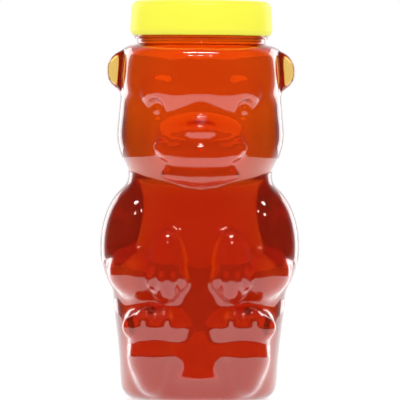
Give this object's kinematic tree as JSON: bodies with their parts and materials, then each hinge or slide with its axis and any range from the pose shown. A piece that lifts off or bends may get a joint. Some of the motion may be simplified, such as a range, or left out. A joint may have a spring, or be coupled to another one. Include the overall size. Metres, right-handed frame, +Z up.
{
  "type": "honey bear bottle",
  "caption": "Clear moulded bear-shaped bottle full of honey, with a wide neck and a lined yellow screw cap.",
  "frame": {"origin": "middle of the base ring, on the table, on the axis of the neck", "axes": "+Z up along the neck's axis, -Y out of the bear's face, +X to the right of someone who looks at the face"},
  "size_m": [0.0936, 0.08, 0.1863],
  "materials": {
    "clear_bottle": "clear blow-moulded polyester, glossy",
    "honey": "clear dark amber honey",
    "yellow_cap": "satin yellow polypropylene",
    "liner": "white foam"
  },
  "bodies": {
    "bottle": {"bottle": "clear_bottle", "honey": "honey"},
    "liner": {"cap_liner": "liner"},
    "cap": {"screw_cap": "yellow_cap"}
  },
  "joints": [
    {"name": "cap_rise", "type": "slide", "parent": "bottle", "child": "liner", "axis": [0, 0, 1], "range_m": [0, 0.0169]},
    {"name": "cap_turn", "type": "hinge", "parent": "liner", "child": "cap", "pos_m": [0, 0, 0.17], "axis": [0, 0, 1], "range_deg": [0, 1440]}
  ],
  "couplings": [
    {"joint": "cap_turn", "follows": "cap_rise", "rad_per_m": 1484.2}
  ]
}
